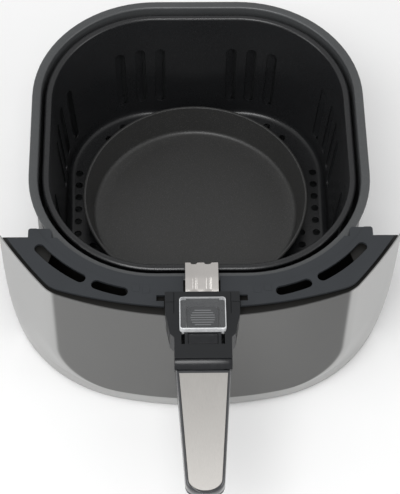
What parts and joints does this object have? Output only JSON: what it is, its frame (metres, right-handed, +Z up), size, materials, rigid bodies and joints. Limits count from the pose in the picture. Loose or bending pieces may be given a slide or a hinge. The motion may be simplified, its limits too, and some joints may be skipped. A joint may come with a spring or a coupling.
{
  "type": "air fryer drawer set",
  "caption": "Pulled-out drawer of a basket air fryer: rounded pan with bowed steel front, vented lift-out basket with guarded release handle, and a round baking pan inside.",
  "frame": {"origin": "middle of the drawer pan's flat base, on the table", "axes": "+Y into the fryer, away from the handle; +X to the right seen from the handle; +Z up"},
  "size_m": [0.299, 0.4376, 0.153],
  "materials": {
    "pan_coating": "satin grey non-stick over drawn steel",
    "steel_front": "fine brushed stainless",
    "black_plastic": "matt moulded",
    "charcoal_plastic": "fine satin moulded",
    "bracket_steel": "plain pressed steel",
    "nonstick_coating": "satin non-stick",
    "bakeware_coating": "speckled matt non-stick",
    "strap_steel": "bright stainless",
    "gloss_black": "glossy moulded",
    "satin_inlay": "fine brushed, satin",
    "clear_plastic": "clear moulded",
    "silicone": "matt silicone",
    "spring_steel": "drawn wire",
    "zinc_fixings": "zinc plated"
  },
  "bodies": {
    "drawer": {"drawer_pan": "pan_coating", "fascia_skin": "steel_front", "fascia_liner": "black_plastic", "top_deck": "charcoal_plastic", "base_cover": "black_plastic", "pan_bracket_left": "bracket_steel", "pan_bracket_right": "bracket_steel", "latch_keeper": "bracket_steel", "base_screw_1": "zinc_fixings", "base_screw_2": "zinc_fixings", "base_screw_3": "zinc_fixings", "base_screw_4": "zinc_fixings", "deck_screw_1": "zinc_fixings", "deck_screw_2": "zinc_fixings", "deck_screw_3": "zinc_fixings", "deck_screw_4": "zinc_fixings", "bracket_screw_1": "zinc_fixings", "bracket_screw_2": "zinc_fixings", "bracket_screw_3": "zinc_fixings", "bracket_screw_4": "zinc_fixings", "keeper_screw_1": "zinc_fixings", "keeper_screw_2": "zinc_fixings"},
    "basket": {"basket": "nonstick_coating", "handle_strap": "strap_steel", "handle_head": "charcoal_plastic", "track_plate": "gloss_black", "head_cover": "charcoal_plastic", "junction_band": "gloss_black", "grip_frame": "gloss_black", "grip_inlay": "satin_inlay", "grip_base": "charcoal_plastic", "button_spring": "spring_steel", "latch_pin": "zinc_fixings", "strap_rivet_1": "zinc_fixings", "strap_rivet_2": "zinc_fixings", "strap_rivet_3": "zinc_fixings", "strap_rivet_4": "zinc_fixings", "basket_foot_1": "silicone", "basket_foot_2": "silicone", "basket_foot_3": "silicone", "basket_foot_4": "silicone", "head_screw_1": "zinc_fixings", "head_screw_2": "zinc_fixings", "tang_screw_1": "zinc_fixings", "tang_screw_2": "zinc_fixings", "grip_screw_1": "zinc_fixings", "grip_screw_2": "zinc_fixings"},
    "button": {"release_button": "charcoal_plastic"},
    "latch": {"latch_lever": "black_plastic"},
    "guard": {"button_guard": "clear_plastic"},
    "baking_pan": {"baking_pan": "bakeware_coating"}
  },
  "joints": [
    {"name": "basket_lift", "type": "slide", "parent": "drawer", "child": "basket", "axis": [0, 0, 1], "range_m": [0, 0.15]},
    {"name": "button_press", "type": "slide", "parent": "basket", "child": "button", "axis": [0, 0, -1], "range_m": [0, 0.0025], "stiffness_N_per_m": 600, "springref_m": -0.0015, "deforming": ["button_spring"]},
    {"name": "latch_turn", "type": "hinge", "parent": "basket", "child": "latch", "pos_m": [0, -0.16, 0.1434], "axis": [1, 0, 0], "range_deg": [0, 10.1]},
    {"name": "guard_slide", "type": "slide", "parent": "basket", "child": "guard", "axis": [0, -1, 0], "range_m": [0, 0.009]},
    {"name": "baking_pan_lift", "type": "slide", "parent": "basket", "child": "baking_pan", "axis": [0, 0, 1], "range_m": [0, 0.12]}
  ],
  "couplings": [
    {"joint": "latch_turn", "follows": "button_press", "rad_per_m": 70}
  ]
}
